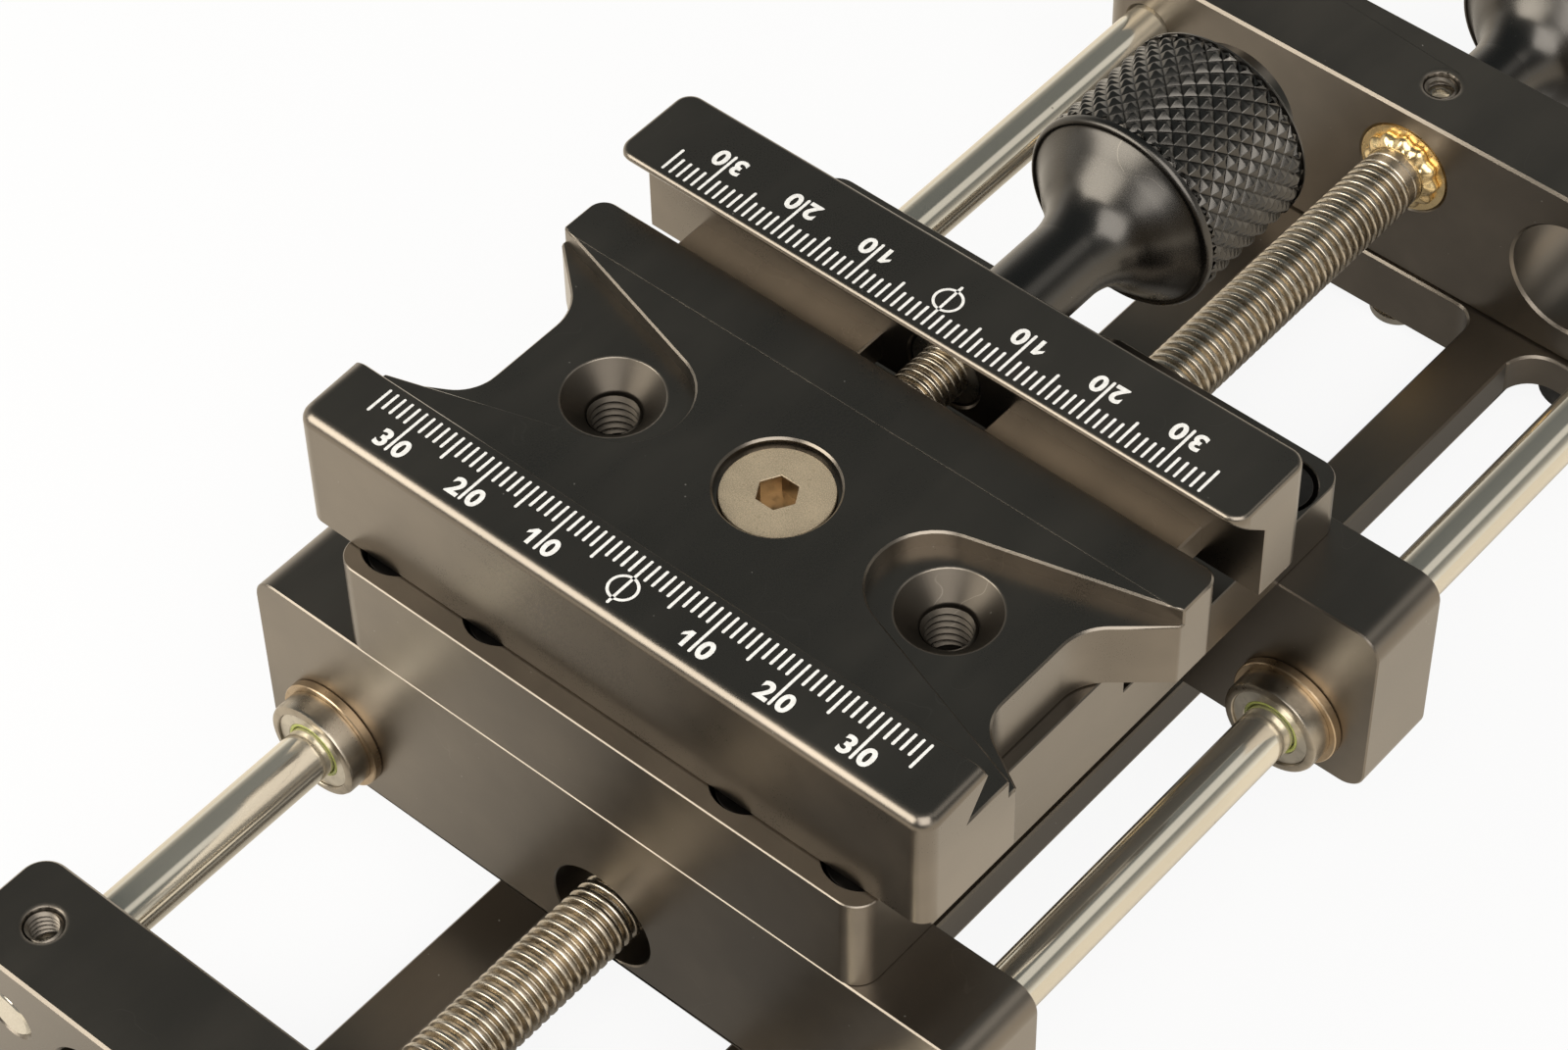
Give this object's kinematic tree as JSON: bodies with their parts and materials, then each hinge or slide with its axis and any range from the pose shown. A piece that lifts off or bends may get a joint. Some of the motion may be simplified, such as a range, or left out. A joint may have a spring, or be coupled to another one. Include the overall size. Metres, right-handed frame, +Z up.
{
  "type": "macro focusing rail",
  "caption": "Screw-driven focusing rail: a carriage on guide rods carries a knob-tightened dovetail clamp with engraved scales, over a slotted base plate with tripod sockets.",
  "frame": {"origin": "centre of the mouth of the large tripod socket, in the underside of the base plate's dovetail foot, midway between the end blocks", "axes": "+X across the rail, +Y along the rail towards the focus knob, +Z up out of the base plate"},
  "size_m": [0.0964, 0.2371, 0.0755],
  "materials": {
    "black_anodised": "satin black anodised",
    "knob_black": "polished black anodised",
    "rod_steel": "ground and polished",
    "screw_steel": "rolled thread, satin",
    "bearing_steel": "satin",
    "clip_bronze": "phosphated spring steel, bronze tint",
    "brass": "machined",
    "fastener_steel": "turned, nickel plated",
    "fastener_black": "black oxide",
    "foot_rubber": "matte"
  },
  "bodies": {
    "base": {"base_plate": "black_anodised", "near_end_block": "black_anodised", "far_end_block": "black_anodised", "left_rod": "rod_steel", "right_rod": "rod_steel", "rod_set_screws": "fastener_steel", "bearing_set_screw": "fastener_steel", "base_cap_screws": "fastener_steel", "stop_screws": "fastener_steel", "rubber_feet": "foot_rubber", "near_screw_bearing": "bearing_steel", "far_screw_bearing": "bearing_steel"},
    "focus_screw": {"lead_screw": "screw_steel", "lock_ring": "brass", "focus_knob": "knob_black", "focus_knob_screw": "fastener_steel"},
    "carriage": {"front_block": "black_anodised", "rear_block": "black_anodised", "front_left_bearing": "bearing_steel", "front_right_bearing": "bearing_steel", "rear_left_bearing": "bearing_steel", "rear_right_bearing": "bearing_steel", "front_left_clips": "clip_bronze", "front_right_clips": "clip_bronze", "rear_left_clips": "clip_bronze", "rear_right_clips": "clip_bronze", "lead_nut": "brass", "nut_screws": "fastener_steel", "top_plate": "black_anodised", "front_plate_screws": "fastener_black", "rear_plate_screws": "fastener_black", "clamp_body": "black_anodised", "clamp_centre_screw": "fastener_steel", "locating_pins": "fastener_steel"},
    "jaw": {"moving_jaw": "black_anodised", "jaw_retaining_ring": "fastener_steel", "thrust_washer": "brass"},
    "clamp_drive": {"clamp_screw": "screw_steel", "clamp_knob": "knob_black", "clamp_knob_pin": "fastener_steel"}
  },
  "joints": [
    {"name": "focus_screw_turn", "type": "hinge", "parent": "base", "child": "focus_screw", "pos_m": [0, 0, 0.0249], "axis": [0, -1, 0], "range_deg": [-8640, 16704]},
    {"name": "carriage_slide", "type": "slide", "parent": "base", "child": "carriage", "axis": [0, 1, 0], "range_m": [-0.03, 0.058]},
    {"name": "jaw_slide", "type": "slide", "parent": "carriage", "child": "jaw", "axis": [0, 1, 0], "range_m": [-0.006, 0.0015]},
    {"name": "clamp_screw_turn", "type": "hinge", "parent": "jaw", "child": "clamp_drive", "pos_m": [0, 0, 0.062], "axis": [0, 1, 0], "range_deg": [-2160, 540]}
  ],
  "couplings": [
    {"joint": "focus_screw_turn", "follows": "carriage_slide", "rad_per_m": 5026.5},
    {"joint": "clamp_screw_turn", "follows": "jaw_slide", "rad_per_m": 6283.2}
  ]
}
